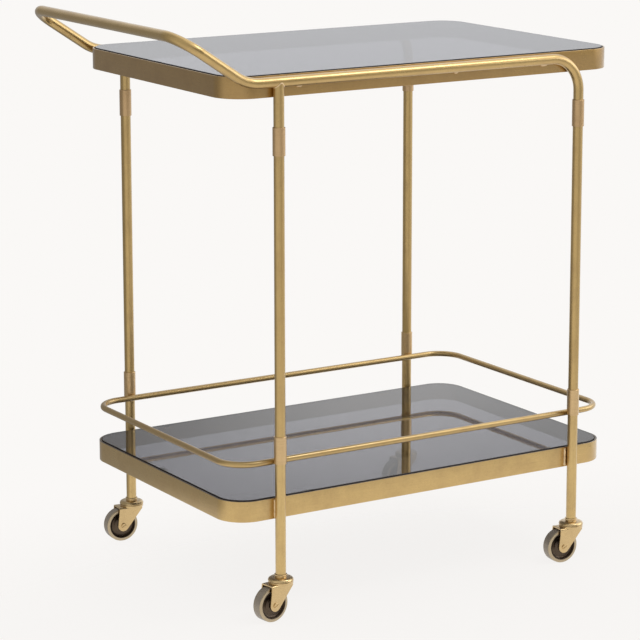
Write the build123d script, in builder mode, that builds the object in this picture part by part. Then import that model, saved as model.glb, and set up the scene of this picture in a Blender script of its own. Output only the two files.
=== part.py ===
from build123d import *

import os
from math import cos, radians, sin, tan

# Two-tier bar cart: a bent round-tube frame, two flat-bar hoops that each hold a smoked glass pane,
# a round-rod guard rail, and four twin-cheek swivel casters.
# Millimetres, +Z up, the floor at Z = 0. +X runs along the long side, away from the push handle,
# and -Y is the front. The origin is on the floor under the middle of the whole cart, handle included.

# Frame tubes
TUBE_OD = 16.0
TUBE_WALL = 1.2
LEG_SETBACK = 79.0          # centre of each leg inboard of its hoop's end
WELD_GAP = 0.1              # where two welded pieces lie side by side
BUTT_GAP = 0.6              # between two tube ends inside a sleeve

# Sleeves that join each upper and lower leg
SLEEVE_OD = 19.0
SLEEVE_LENGTH = 42.0
SLEEVE_CLEARANCE = 0.05
SLEEVE_EDGE = 0.6
UPPER_JOINT_DROP = 64.0     # middle of the upper sleeves below the upper hoop
LOWER_JOINT_RISE = 20.0     # middle of the lower sleeves above the rail

# Flat-bar hoops
BAND_LENGTH = 700.0
BAND_WIDTH = 460.0
BAND_HEIGHT = 32.0
BAND_THICKNESS = 2.5
BAND_CORNER_RADIUS = 46.0
BAND_EDGE = 0.5
LOWER_BAND_Z = 154.0        # underside of each hoop
UPPER_BAND_Z = 788.0

# Glass panes, their support tabs and pads
GLASS_THICKNESS = 5.0
GLASS_PROUD = 1.4           # top of the pane above the top of its hoop
GLASS_GAP = 1.5
GLASS_EDGE = 0.6
TAB_LENGTH = 18.0
TAB_DEPTH = 12.0
TAB_THICKNESS = 2.0
TAB_CORNER = 3.0
TAB_SETBACK = 140.0         # side tabs inboard of the hoop's ends
PAD_RADIUS = 4.0
PAD_THICKNESS = 1.0

# Guard rail above the lower pane
RAIL_DIAMETER = 9.5
RAIL_RISE = 55.0            # centre line above the top of the lower hoop
RAIL_INSET = 6.0            # centre line inboard of the hoop's ends
RAIL_CORNER_RADIUS = 43.5

# Push handle, in one tube with the side tubes
SIDE_TUBE_DROP = 9.0        # centre of the side tube below the top of the upper hoop
LEG_BEND_RADIUS = 52.0
KNEE_SETBACK = 26.0         # knee of the handle arm, inboard of the hoop's end
KNEE_BEND_RADIUS = 70.0
HANDLE_REACH = 84.0         # centre of the grip bar beyond the hoop's end
HANDLE_SLOPE = 33.5         # degrees above the horizontal
HANDLE_CORNER_RADIUS = 44.0

# Casters: wheel, fork and swivel bearing
WHEEL_DIAMETER = 54.0
WHEEL_WIDTH = 17.0
TYRE_DEPTH = 3.2
TYRE_CROWN = 0.5
TYRE_FIT = 0.02
FLANGE_WIDTH = 1.3
FLANGE_DROP = 0.3           # flange edge below the tread
RIM_DEPTH = 2.2             # metal under the tyre
WEB_THICKNESS = 7.0
HUB_DIAMETER = 15.0
AXLE_DIAMETER = 5.0
RUNNING_CLEARANCE = 0.05
HUB_END_PLAY = 0.4
CASTER_TRAIL = 20.0
FORK_WIDTH = 26.0
FORK_SHEET = 2.2
FORK_TIP_RADIUS = 9.5
FORK_OVERHANG = 6.5         # rear edge of the fork plate behind the axle
FORK_WHEEL_GAP = 1.1        # wheel top to the underside of the fork plate
FORK_BEND = 1.6
CHEEK_LEAD = 13.5           # front edge of each cheek ahead of the swivel axis
RACE_RADIUS = 19.0
RACE_HEIGHT = 2.4
RACE_GAP = 0.6
RACE_EDGE = 0.8
CAP_RIM = 1.4
CAP_DOME = 2.8
CAP_CROWN = 2.016           # height of the dome half way in from the rim
CAP_OVERHANG = 0.5
BALL_DIAMETER = 3.2
BALL_CIRCLE_RADIUS = 14.0
BALL_COUNT = 8
BALL_CLEARANCE = 0.05
COLLAR_DIAMETER = 17.0
COLLAR_HEIGHT = 5.2
COLLAR_EDGE = 0.8
FOOT_GAP = 0.3              # collar to the end of the leg
KINGPIN_DIAMETER = 8.0
KINGPIN_HEAD_DIAMETER = 13.0
KINGPIN_HEAD_HEIGHT = 1.6
STEM_DIAMETER = 8.0
STEM_LENGTH = 26.0
STEM_FIT = 0.05
SOCKET_LENGTH = 32.0
SOCKET_FIT = 0.05
AXLE_HEAD_DIAMETER = 8.4
AXLE_HEAD_HEIGHT = 1.7
AXLE_HEAD_EDGE = 0.7
SLOT_WIDTH = 1.1
SLOT_DEPTH = 0.7
SLOT_TURN = 30.0            # degrees

# Places worked out from the sizes above
BAR_X = -BAND_LENGTH / 2 - HANDLE_REACH
SHELF_X = (HANDLE_REACH + TUBE_OD / 2) / 2
LEG_X = BAND_LENGTH / 2 - LEG_SETBACK
LEG_Y = BAND_WIDTH / 2 + TUBE_OD / 2 + WELD_GAP
TUBE_BORE = TUBE_OD - 2 * TUBE_WALL
RAIL_X = BAND_LENGTH / 2 - RAIL_INSET
RAIL_Z = LOWER_BAND_Z + BAND_HEIGHT + RAIL_RISE
UPPER_JOINT_Z = UPPER_BAND_Z - UPPER_JOINT_DROP
LOWER_JOINT_Z = RAIL_Z + LOWER_JOINT_RISE
SIDE_TUBE_Z = UPPER_BAND_Z + BAND_HEIGHT - SIDE_TUBE_DROP
KNEE_X = -BAND_LENGTH / 2 + KNEE_SETBACK
BAR_Z = SIDE_TUBE_Z + (KNEE_X - BAR_X) * tan(radians(HANDLE_SLOPE))
RAIL_Y = LEG_Y - SLEEVE_OD / 2 - RAIL_DIAMETER / 2 - WELD_GAP

WHEEL_RADIUS = WHEEL_DIAMETER / 2
PLATE_BOTTOM = WHEEL_DIAMETER + FORK_WHEEL_GAP
PLATE_TOP = PLATE_BOTTOM + FORK_SHEET
RACE_TOP = PLATE_TOP + RACE_HEIGHT
CAP_BOTTOM = RACE_TOP + RACE_GAP
COLLAR_BOTTOM = CAP_BOTTOM + CAP_RIM + CAP_DOME
COLLAR_TOP = COLLAR_BOTTOM + COLLAR_HEIGHT
FOOT_Z = COLLAR_TOP + FOOT_GAP

# Each corner's name, its signs along X and Y, and how far its caster has swivelled at rest, in degrees
CORNERS = {
    "left_front": (-1, -1, 8.0),
    "right_front": (1, -1, -4.0),
    "left_rear": (-1, 1, -4.5),
    "right_rear": (1, 1, 3.0),
}


def save(builder, name):
    """Label the finished piece and write it as a STEP file under its node name."""
    builder.part.label = name
    export_step(builder.part, f"parts/{name}.step")


def leg_point(corner, z):
    """Centre of a corner's leg at height z."""
    side_x, side_y, _ = CORNERS[corner]
    return Vector(SHELF_X + side_x * LEG_X, side_y * LEG_Y, z)


def bent_line(points, radii):
    """Draw straight runs through the points, each inner point rounded by a tangent arc of its radius."""
    start = points[0]
    for before, corner, after, radius in zip(points, points[1:], points[2:], radii):
        inward = (before - corner).normalized()
        outward = (after - corner).normalized()
        half_angle = radians(inward.get_angle(outward)) / 2
        setback = radius / tan(half_angle)
        bisector = (inward + outward).normalized()
        arc_start = corner + inward * setback
        arc_middle = corner + bisector * (radius / sin(half_angle) - radius)
        arc_end = corner + outward * setback
        Line(start, arc_start)
        ThreePointArc(arc_start, arc_middle, arc_end)
        start = arc_end
    Line(start, points[-1])


def tube_section(outer, bore):
    """Ring of a round tube, drawn on the current sketch plane."""
    Circle(outer / 2)
    Circle(bore / 2, mode=Mode.SUBTRACT)


def upright_tube(corner, z_low, z_high):
    """Straight vertical frame tube on one leg's centre line."""
    with BuildPart() as tube:
        with BuildSketch(Plane(leg_point(corner, z_low))):
            tube_section(TUBE_OD, TUBE_BORE)
        extrude(amount=z_high - z_low)
    return tube


# One continuous tube: right front leg, front side, push handle, rear side, right rear leg
def make_handle_frame():
    right = SHELF_X + LEG_X
    knee = SHELF_X + KNEE_X
    bar = SHELF_X + BAR_X
    foot = UPPER_JOINT_Z + BUTT_GAP / 2
    points = [
        Vector(right, -LEG_Y, foot),
        Vector(right, -LEG_Y, SIDE_TUBE_Z),
        Vector(knee, -LEG_Y, SIDE_TUBE_Z),
        Vector(bar, -LEG_Y, BAR_Z),
        Vector(bar, LEG_Y, BAR_Z),
        Vector(knee, LEG_Y, SIDE_TUBE_Z),
        Vector(right, LEG_Y, SIDE_TUBE_Z),
        Vector(right, LEG_Y, foot),
    ]
    half = [LEG_BEND_RADIUS, KNEE_BEND_RADIUS, HANDLE_CORNER_RADIUS]
    with BuildPart() as frame:
        with BuildLine() as path:
            bent_line(points, half + half[::-1])
        with BuildSketch(Plane(points[0])):
            tube_section(TUBE_OD, TUBE_BORE)
        sweep(path=path.wire())
    return frame


# Short leg stub on the handle side, with its top end notched to saddle the side tube
def make_stub(corner):
    foot = UPPER_JOINT_Z + BUTT_GAP / 2
    with BuildPart() as stub:
        with BuildSketch(Plane(leg_point(corner, foot))):
            tube_section(TUBE_OD, TUBE_BORE)
        extrude(amount=SIDE_TUBE_Z - foot)
        with BuildSketch(Plane(leg_point(corner, SIDE_TUBE_Z), x_dir=(0, 1, 0), z_dir=(1, 0, 0))):
            Circle(TUBE_OD / 2 + WELD_GAP)
        extrude(amount=TUBE_OD, both=True, mode=Mode.SUBTRACT)
    return stub


# Sleeve over the butted ends of two leg tubes
def make_sleeve(corner, joint_z):
    with BuildPart() as sleeve:
        with BuildSketch(Plane(leg_point(corner, joint_z - SLEEVE_LENGTH / 2))):
            tube_section(SLEEVE_OD, TUBE_OD + 2 * SLEEVE_CLEARANCE)
        extrude(amount=SLEEVE_LENGTH)
        rims = sleeve.edges().filter_by(GeomType.CIRCLE).group_by(SortBy.RADIUS)[-1]
        fillet(rims, SLEEVE_EDGE)
    return sleeve


# Bush pressed into the foot of a leg, which takes the caster's stem
def make_socket(corner):
    with BuildPart() as socket:
        with BuildSketch(Plane(leg_point(corner, FOOT_Z))):
            tube_section(TUBE_BORE - 2 * SOCKET_FIT, STEM_DIAMETER + 2 * STEM_FIT)
        extrude(amount=SOCKET_LENGTH)
    return socket


def hoop_outline(inset):
    """Rounded rectangle that follows the hoop's outside face at an inset."""
    RectangleRounded(BAND_LENGTH - 2 * inset, BAND_WIDTH - 2 * inset, BAND_CORNER_RADIUS - inset)


# Hoop of flat bar, standing on edge
def make_band(base_z):
    with BuildPart() as band:
        with BuildSketch(Plane((SHELF_X, 0, base_z))):
            hoop_outline(0)
        extrude(amount=BAND_HEIGHT)
        fillet(band.edges().group_by(Axis.Z)[-1], BAND_EDGE)
        fillet(band.edges().group_by(Axis.Z)[0], BAND_EDGE)
        with BuildSketch(Plane((SHELF_X, 0, base_z))):
            hoop_outline(BAND_THICKNESS)
        extrude(amount=BAND_HEIGHT, mode=Mode.SUBTRACT)
    return band


def glass_bottom(base_z):
    """Underside of the pane that a hoop holds."""
    return base_z + BAND_HEIGHT + GLASS_PROUD - GLASS_THICKNESS


# Smoked glass pane with ground edges
def make_glass(base_z):
    with BuildPart() as pane:
        with BuildSketch(Plane((SHELF_X, 0, glass_bottom(base_z)))):
            hoop_outline(BAND_THICKNESS + GLASS_GAP)
        extrude(amount=GLASS_THICKNESS)
        chamfer(pane.edges().group_by(Axis.Z)[-1], GLASS_EDGE)
        chamfer(pane.edges().group_by(Axis.Z)[0], GLASS_EDGE)
    return pane


def tab_places():
    """Where the six tabs meet the inside of a hoop: X, Y and the turn of each tab's free end."""
    tab_x = BAND_LENGTH / 2 - TAB_SETBACK
    side_y = BAND_WIDTH / 2 - BAND_THICKNESS
    end_x = BAND_LENGTH / 2 - BAND_THICKNESS
    rear = [(x, side_y, 90) for x in (-tab_x, tab_x)]
    front = [(x, -side_y, -90) for x in (-tab_x, tab_x)]
    return rear + front + [(-end_x, 0, 180), (end_x, 0, 0)]


# Support tabs welded inside a hoop, each with its two free corners rounded
def make_tabs(base_z):
    tab_bottom = glass_bottom(base_z) - PAD_THICKNESS - TAB_THICKNESS
    with BuildPart() as tabs:
        with BuildSketch(Plane((SHELF_X, 0, tab_bottom))):
            for x, y, turn in tab_places():
                with Locations(Location((x, y, 0), (0, 0, turn))):
                    Rectangle(TAB_DEPTH, TAB_LENGTH, align=(Align.MAX, Align.CENTER))
        extrude(amount=TAB_THICKNESS)
        free_corners = [
            edge
            for edge in tabs.edges().filter_by(Axis.Z)
            if abs(edge.center().X - SHELF_X) < BAND_LENGTH / 2 - BAND_THICKNESS - TAB_DEPTH / 2
            and abs(edge.center().Y) < BAND_WIDTH / 2 - BAND_THICKNESS - TAB_DEPTH / 2
        ]
        fillet(free_corners, TAB_CORNER)
    return tabs


# Soft pads between the tabs and the pane
def make_pads(base_z):
    with BuildPart() as pads:
        with BuildSketch(Plane((SHELF_X, 0, glass_bottom(base_z) - PAD_THICKNESS))):
            for x, y, turn in tab_places():
                inward = Vector(-TAB_DEPTH / 2, 0).rotate(Axis.Z, turn)
                with Locations((x + inward.X, y + inward.Y)):
                    Circle(PAD_RADIUS)
        extrude(amount=PAD_THICKNESS)
    return pads


# Round-rod guard rail, a closed loop welded inside the lower sleeves
def make_rail():
    corner_points = [
        (SHELF_X + RAIL_X, RAIL_Y),
        (SHELF_X - RAIL_X, RAIL_Y),
        (SHELF_X - RAIL_X, -RAIL_Y),
        (SHELF_X + RAIL_X, -RAIL_Y),
    ]
    with BuildPart() as rail:
        with BuildLine(Plane.XY.offset(RAIL_Z)) as path:
            FilletPolyline(*corner_points, radius=RAIL_CORNER_RADIUS, close=True)
        with BuildSketch(path.line ^ 0):
            Circle(RAIL_DIAMETER / 2)
        sweep(path=path.wire())
    return rail


def caster_planes(corner):
    """Level plane at the floor under a leg with local X along the trail, and the upright plane through it."""
    swivel = radians(CORNERS[corner][2])
    trail = Vector(-cos(swivel), -sin(swivel), 0)
    level = Plane(leg_point(corner, 0), x_dir=trail, z_dir=(0, 0, 1))
    upright = Plane(leg_point(corner, 0), x_dir=trail, z_dir=trail.cross(Vector(0, 0, 1)))
    return level, upright


def axle_plane(corner):
    """Level plane through a wheel's centre with local Y along the axle."""
    level, _ = caster_planes(corner)
    return Plane(level.from_local_coords((CASTER_TRAIL, 0, WHEEL_RADIUS)), x_dir=level.x_dir, z_dir=(0, 0, 1))


def axle_line(corner):
    """Axis that a wheel turns about."""
    plane = axle_plane(corner)
    return Axis(plane.origin, plane.y_dir)


# Stem, collar, domed bearing cap and kingpin, riveted up as one turned piece
def make_stem(corner):
    _, upright = caster_planes(corner)
    cap_radius = RACE_RADIUS + CAP_OVERHANG
    head_top = PLATE_BOTTOM - RUNNING_CLEARANCE
    head_bottom = head_top - KINGPIN_HEAD_HEIGHT
    with BuildPart() as stem:
        with BuildSketch(upright):
            with BuildLine():
                Polyline(
                    (cap_radius, CAP_BOTTOM + CAP_RIM),
                    (cap_radius, CAP_BOTTOM),
                    (KINGPIN_DIAMETER / 2, CAP_BOTTOM),
                    (KINGPIN_DIAMETER / 2, head_top),
                    (KINGPIN_HEAD_DIAMETER / 2, head_top),
                    (KINGPIN_HEAD_DIAMETER / 2, head_bottom),
                    (0, head_bottom),
                    (0, FOOT_Z + STEM_LENGTH),
                    (STEM_DIAMETER / 2, FOOT_Z + STEM_LENGTH),
                    (STEM_DIAMETER / 2, COLLAR_TOP),
                    (COLLAR_DIAMETER / 2, COLLAR_TOP),
                    (COLLAR_DIAMETER / 2, COLLAR_BOTTOM),
                )
                crown = (COLLAR_DIAMETER / 2 + cap_radius) / 2, CAP_BOTTOM + CAP_RIM + CAP_CROWN
                ThreePointArc((COLLAR_DIAMETER / 2, COLLAR_BOTTOM), crown, (cap_radius, CAP_BOTTOM + CAP_RIM))
            make_face()
        revolve(axis=Axis(upright.origin, (0, 0, 1)))
        collar_rim = stem.edges().filter_by(GeomType.CIRCLE).filter_by_position(Axis.Z, COLLAR_TOP, COLLAR_TOP)
        fillet(collar_rim.sort_by(SortBy.RADIUS)[-1], COLLAR_EDGE)
        with BuildSketch(upright):
            groove_section()
        revolve(axis=Axis(upright.origin, (0, 0, 1)), mode=Mode.SUBTRACT)
    return stem


def groove_section():
    """Section of the ring groove that the balls run in, midway between the race and the cap."""
    with Locations((BALL_CIRCLE_RADIUS, RACE_TOP + RACE_GAP / 2)):
        Circle(BALL_DIAMETER / 2 + BALL_CLEARANCE)


# Ring of bearing balls
def make_balls(corner):
    level, _ = caster_planes(corner)
    with BuildPart() as balls:
        with Locations(level.offset(RACE_TOP + RACE_GAP / 2)):
            with PolarLocations(BALL_CIRCLE_RADIUS, BALL_COUNT):
                Sphere(BALL_DIAMETER / 2)
    return balls


# Pressed fork: race cup, plate and two tapered cheeks with rounded tips
def make_fork(corner):
    level, upright = caster_planes(corner)
    rear = CASTER_TRAIL + FORK_OVERHANG
    cheek_inset = FORK_WIDTH / 2 - FORK_SHEET
    with BuildPart() as fork:
        with BuildSketch(level.offset(PLATE_BOTTOM)):
            with Locations(((rear - CHEEK_LEAD) / 2, 0)):
                Rectangle(rear + CHEEK_LEAD, FORK_WIDTH)
        extrude(amount=FORK_SHEET)
        with BuildSketch(upright.offset(-FORK_WIDTH / 2)):
            with Locations((CASTER_TRAIL, WHEEL_RADIUS)):
                Circle(FORK_TIP_RADIUS)
            with Locations(((rear - CHEEK_LEAD) / 2, PLATE_TOP - FORK_SHEET)):
                Rectangle(rear + CHEEK_LEAD, 2 * FORK_SHEET)
            make_hull()
        extrude(amount=FORK_WIDTH)
        with BuildSketch(upright.offset(-cheek_inset)):
            with Locations(((rear - CHEEK_LEAD) / 2, PLATE_BOTTOM / 2)):
                Rectangle(2 * (rear + CHEEK_LEAD), PLATE_BOTTOM)
        extrude(amount=2 * cheek_inset, mode=Mode.SUBTRACT)
        with BuildSketch(upright.offset(-FORK_WIDTH)):
            with Locations((CASTER_TRAIL, WHEEL_RADIUS)):
                Circle(AXLE_DIAMETER / 2 + RUNNING_CLEARANCE)
        extrude(amount=2 * FORK_WIDTH, mode=Mode.SUBTRACT)
        top_edges = fork.edges().filter_by_position(Axis.Z, PLATE_TOP, PLATE_TOP)
        long_edges = top_edges.filter_by(Axis(upright.origin, upright.x_dir))
        fillet(long_edges, FORK_BEND)
        with BuildSketch(level.offset(PLATE_BOTTOM)):
            Circle(RACE_RADIUS)
        extrude(amount=FORK_SHEET + RACE_HEIGHT)
        race_rim = fork.edges().filter_by(GeomType.CIRCLE).group_by(Axis.Z)[-1]
        fillet(race_rim, RACE_EDGE)
        with BuildSketch(level.offset(PLATE_BOTTOM)):
            Circle(KINGPIN_DIAMETER / 2 + RUNNING_CLEARANCE)
        extrude(amount=FORK_SHEET + RACE_HEIGHT, mode=Mode.SUBTRACT)
        with BuildSketch(upright):
            groove_section()
        revolve(axis=Axis(upright.origin, (0, 0, 1)), mode=Mode.SUBTRACT)
    return fork


# Axle rivet with a slotted head on the front side and a plain head on the rear side
def make_axle(corner):
    plane = axle_plane(corner)
    head = FORK_WIDTH / 2 + AXLE_HEAD_HEIGHT
    with BuildPart() as axle:
        with BuildSketch(plane):
            with Locations((AXLE_DIAMETER / 4, 0)):
                Rectangle(AXLE_DIAMETER / 2, 2 * head)
            for side in (-1, 1):
                with Locations((AXLE_HEAD_DIAMETER / 4, side * (head - AXLE_HEAD_HEIGHT / 2))):
                    Rectangle(AXLE_HEAD_DIAMETER / 2, AXLE_HEAD_HEIGHT)
        revolve(axis=axle_line(corner))
        ends = axle.edges().filter_by(GeomType.CIRCLE).sort_by(axle_line(corner))
        fillet([ends[0], ends[-1]], AXLE_HEAD_EDGE)
        front = 1 if plane.y_dir.Y < 0 else -1
        with BuildSketch(Plane(plane.from_local_coords((0, front * head, 0)), x_dir=plane.x_dir, z_dir=plane.y_dir)):
            Rectangle(AXLE_HEAD_DIAMETER, SLOT_WIDTH, rotation=SLOT_TURN)
        extrude(amount=SLOT_DEPTH, both=True, mode=Mode.SUBTRACT)
    return axle


# Wheel centre: hub, recessed web and a rim with two flanges, in one turned piece
def make_wheel(corner):
    plane = axle_plane(corner)
    bore = AXLE_DIAMETER / 2 + RUNNING_CLEARANCE
    flange = WHEEL_RADIUS - FLANGE_DROP
    seat = WHEEL_RADIUS - TYRE_DEPTH
    hub_width = FORK_WIDTH - 2 * FORK_SHEET - 2 * HUB_END_PLAY
    with BuildPart() as wheel:
        with BuildSketch(plane):
            ring(bore, HUB_DIAMETER / 2, hub_width)
            ring(bore, seat, WEB_THICKNESS)
            ring(seat - RIM_DEPTH, seat, WHEEL_WIDTH)
            for side in (-1, 1):
                with Locations((0, side * (WHEEL_WIDTH - FLANGE_WIDTH) / 2)):
                    ring(seat - RIM_DEPTH, flange, FLANGE_WIDTH)
        revolve(axis=axle_line(corner))
    return wheel


def ring(inner, outer, width):
    """Half section of a ring on the axle plane, from its inner to its outer radius."""
    with Locations(((inner + outer) / 2, 0)):
        Rectangle(outer - inner, width)


# Tyre between the wheel's flanges, with a slightly crowned tread
def make_tyre(corner):
    seat = WHEEL_RADIUS - TYRE_DEPTH + TYRE_FIT
    half = WHEEL_WIDTH / 2 - FLANGE_WIDTH - TYRE_FIT
    shoulder = WHEEL_RADIUS - TYRE_CROWN
    with BuildPart() as tyre:
        with BuildSketch(axle_plane(corner)):
            with BuildLine():
                Polyline((shoulder, -half), (seat, -half), (seat, half), (shoulder, half))
                ThreePointArc((shoulder, half), (WHEEL_RADIUS, 0), (shoulder, -half))
            make_face()
        revolve(axis=axle_line(corner))
    return tyre


os.makedirs("parts", exist_ok=True)

save(make_handle_frame(), "handle_frame")
save(make_rail(), "guard_rail")
for shelf, band_z in {"lower": LOWER_BAND_Z, "upper": UPPER_BAND_Z}.items():
    save(make_band(band_z), f"{shelf}_band")
    save(make_glass(band_z), f"{shelf}_glass")
    save(make_tabs(band_z), f"{shelf}_tabs")
    save(make_pads(band_z), f"{shelf}_pads")

for corner_name, (side_of_shelf, _, _) in CORNERS.items():
    if side_of_shelf < 0:
        save(make_stub(corner_name), f"stub_{corner_name}")
    save(make_sleeve(corner_name, UPPER_JOINT_Z), f"upper_sleeve_{corner_name}")
    save(make_sleeve(corner_name, LOWER_JOINT_Z), f"lower_sleeve_{corner_name}")
    leg_low = LOWER_JOINT_Z + BUTT_GAP / 2
    leg_high = UPPER_JOINT_Z - BUTT_GAP / 2
    save(upright_tube(corner_name, leg_low, leg_high), f"upper_leg_{corner_name}")
    save(upright_tube(corner_name, FOOT_Z, LOWER_JOINT_Z - BUTT_GAP / 2), f"lower_leg_{corner_name}")
    save(make_socket(corner_name), f"stem_socket_{corner_name}")
    save(make_stem(corner_name), f"caster_stem_{corner_name}")
    save(make_balls(corner_name), f"caster_balls_{corner_name}")
    save(make_fork(corner_name), f"caster_fork_{corner_name}")
    save(make_axle(corner_name), f"caster_axle_{corner_name}")
    save(make_wheel(corner_name), f"caster_wheel_{corner_name}")
    save(make_tyre(corner_name), f"caster_tyre_{corner_name}")
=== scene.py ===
"""Two-tier bar cart in satin brass with smoked glass panes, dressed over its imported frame.

Lengths are in metres in the cart's own frame: +Z up, the floor at Z = 0, +X along the long side
away from the push handle, and -Y towards the front. Only a caster's own sizes are in millimetres.
"""

import logging
from dataclasses import dataclass, field
from enum import Enum
from functools import cached_property, reduce
from itertools import product
from math import cos, pi, radians, sin, sqrt, tan
from typing import Any, Sequence

import bmesh
import bpy
import numpy as np
from mathutils import Matrix


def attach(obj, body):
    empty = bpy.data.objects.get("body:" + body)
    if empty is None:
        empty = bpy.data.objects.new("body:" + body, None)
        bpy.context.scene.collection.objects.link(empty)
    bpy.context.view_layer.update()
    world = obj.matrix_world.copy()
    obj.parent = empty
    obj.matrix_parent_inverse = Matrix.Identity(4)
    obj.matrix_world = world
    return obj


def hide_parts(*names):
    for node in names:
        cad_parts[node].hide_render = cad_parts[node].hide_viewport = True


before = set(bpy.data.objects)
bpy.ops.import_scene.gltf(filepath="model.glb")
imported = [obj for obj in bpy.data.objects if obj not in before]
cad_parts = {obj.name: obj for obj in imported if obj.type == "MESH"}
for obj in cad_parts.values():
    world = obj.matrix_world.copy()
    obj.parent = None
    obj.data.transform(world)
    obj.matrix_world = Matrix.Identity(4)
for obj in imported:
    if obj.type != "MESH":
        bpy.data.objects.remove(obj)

LOG = logging.getLogger("bar_cart")
MM = 0.001
CREASE = radians(32)
MERGE = 1e-6
FILLET_STEPS = 5
Array = np.ndarray
Pair = tuple[float, float]
Triple = tuple[float, float, float]
Colour = Triple
Material = bpy.types.Material
Outputs = bpy.types.NodeOutputs
Socket = bpy.types.NodeSocket


class Corner(Enum):
    """One corner of the cart: its name, its sides along X and Y, and its caster's swivel in degrees."""

    LEFT_FRONT = ("left_front", -1, -1, 8)
    RIGHT_FRONT = ("right_front", 1, -1, -4)
    LEFT_REAR = ("left_rear", -1, 1, -4.5)
    RIGHT_REAR = ("right_rear", 1, 1, 3)

    def __init__(self, label: str, side_x: int, side_y: int, swivel: float) -> None:
        """Keep the corner's facts under plain names."""
        self.label, self.swivel = label, swivel
        self.side_x, self.side_y = side_x, side_y


class Shelf(Enum):
    """One of the two hoops, with the height of its underside."""

    LOWER = ("lower", 154 * MM)
    UPPER = ("upper", 788 * MM)

    def __init__(self, label: str, base_z: float) -> None:
        """Keep the shelf's facts under plain names."""
        self.label, self.base_z = label, base_z


@dataclass(frozen=True)
class Layout:
    """Spacings that several sub-assemblies share."""

    shelf_x: float = 46 * MM
    leg_x: float = 271 * MM
    leg_y: float = 238.1 * MM
    hoop_half: Pair = (350 * MM, 230 * MM)
    tube_radius: float = 8 * MM
    side_tube_z: float = 811 * MM
    rail_z: float = 241 * MM

    def leg(self, corner: Corner, z: float = 0) -> Array:
        """Return the centre of a corner's leg at height z."""
        return np.array([self.shelf_x + corner.side_x * self.leg_x, corner.side_y * self.leg_y, z])

    def middle(self, z: float) -> Array:
        """Return the middle of the shelves at height z."""
        return np.array([self.shelf_x, 0, z])


LAYOUT = Layout()


# ---- Lines through space, and surfaces worked out on grids ----


@dataclass(frozen=True)
class Route:
    """A line through space, with a square frame carried along it that never twists.

    points, across and up are (n, 3) arrays. run is the distance along the line, with one entry more
    where the last point joins the first.
    """

    points: Array
    across: Array
    up: Array
    run: Array


def turned_about(vector: Array, axis: Array, angles: Array) -> Array:
    """Turn a vector about an axis by many angles.

    The part along the axis stays and the rest turns:
    v cos a + (axis x v) sin a + axis (axis . v)(1 - cos a).

    Args:
        vector: The vector, shape (3,).
        axis: Unit axis, shape (3,).
        angles: Angles in radians, shape (k,).

    Returns:
        The turned vectors, shape (k, 3).
    """
    c, s = np.cos(angles)[:, None], np.sin(angles)[:, None]
    return vector * c + np.cross(axis, vector) * s + axis * (axis @ vector) * (1 - c)


def distances(points: Array, closed: bool = False) -> Array:
    """Return the distance along a row of points, shape (n,), or (n + 1,) round a closed one."""
    line = np.vstack([points, points[:1]]) if closed else points
    return np.concatenate([[0], np.cumsum(np.linalg.norm(np.diff(line, axis=0), axis=1))])


def bent_route(corners: Array, radii: Sequence[float], up: Array, steps: int) -> Route:
    """Work out straight runs whose corners are rounded by tangent arcs.

    Each arc starts radius x tan(half the turn) before its corner. Its points and its frame are the
    arc's start turned about the bend's axis by equal steps, so the frame never twists.

    Args:
        corners: Corner points, the two ends included, shape (k, 3).
        radii: Radius of each inner corner.
        up: Direction across the first run that the frame starts from.
        steps: Points along each arc.

    Returns:
        The open route.
    """
    heading = np.diff(corners, axis=0)
    heading /= np.linalg.norm(heading, axis=1)[:, None]
    side = np.cross(heading[0], up)
    rows = [(corners[:1], side[None], up[None])]
    for corner, before, after, radius in zip(corners[1:-1], heading, heading[1:], radii):
        turn = np.arccos(np.clip(before @ after, -1, 1))
        axis = np.cross(before, after) / np.sin(turn)
        start = corner - before * radius * tan(turn / 2)
        centre = start + radius * np.cross(axis, before)
        angles = np.linspace(0, turn, steps)
        arms = (start - centre, rows[-1][1][-1], rows[-1][2][-1])
        arc, across, ups = (turned_about(arm, axis, angles) for arm in arms)
        rows.append((centre + arc, across, ups))
    rows.append((corners[-1:], rows[-1][1][-1:], rows[-1][2][-1:]))
    points, across, ups = (np.vstack(column) for column in zip(*rows))
    return Route(points, across, ups, distances(points))


def level_loop(half: Pair, radius: float, centre: Array, steps: int) -> Route:
    """Work out a level rounded rectangle, whose frame points outwards and up.

    Each corner is a quarter circle: its centre plus radius x (cos a, sin a).

    Args:
        half: Half of its length along X and along Y.
        radius: Radius of its corners.
        centre: Its middle.
        steps: Points along each corner.

    Returns:
        The closed route.
    """
    angles = np.concatenate([np.linspace(k, k + 1, steps) * pi / 2 for k in range(4)])
    signs = np.repeat([[1, 1], [-1, 1], [-1, -1], [1, -1]], steps, axis=0)
    outward = np.stack([np.cos(angles), np.sin(angles), 0 * angles], axis=1)
    level = signs * (np.array(half) - radius)
    points = np.column_stack([level, 0 * angles]) + radius * outward + centre
    up = np.tile([0, 0, 1], (len(points), 1))
    return Route(points, outward, up, distances(points, closed=True))


def ring(steps: int) -> Array:
    """Return points round a unit circle, (cos a, sin a), shape (steps, 2)."""
    angles = np.linspace(0, 2 * pi, steps, endpoint=False)
    return np.stack([np.cos(angles), np.sin(angles)], axis=1)


def carried(route: Route, profile: Array) -> Array:
    """Carry a profile along a route: point + across x profile's first + up x profile's second number.

    Args:
        route: The line that the profile follows.
        profile: (across, up) pairs, shape (m, 2), or (n, m, 2) where it changes along the route.

    Returns:
        The surface's points, shape (n, m, 3).
    """
    section = np.broadcast_to(profile, (len(route.points), *profile.shape[-2:]))
    across, up = route.across[:, None] * section[..., :1], route.up[:, None] * section[..., 1:]
    return route.points[:, None] + across + up


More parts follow.
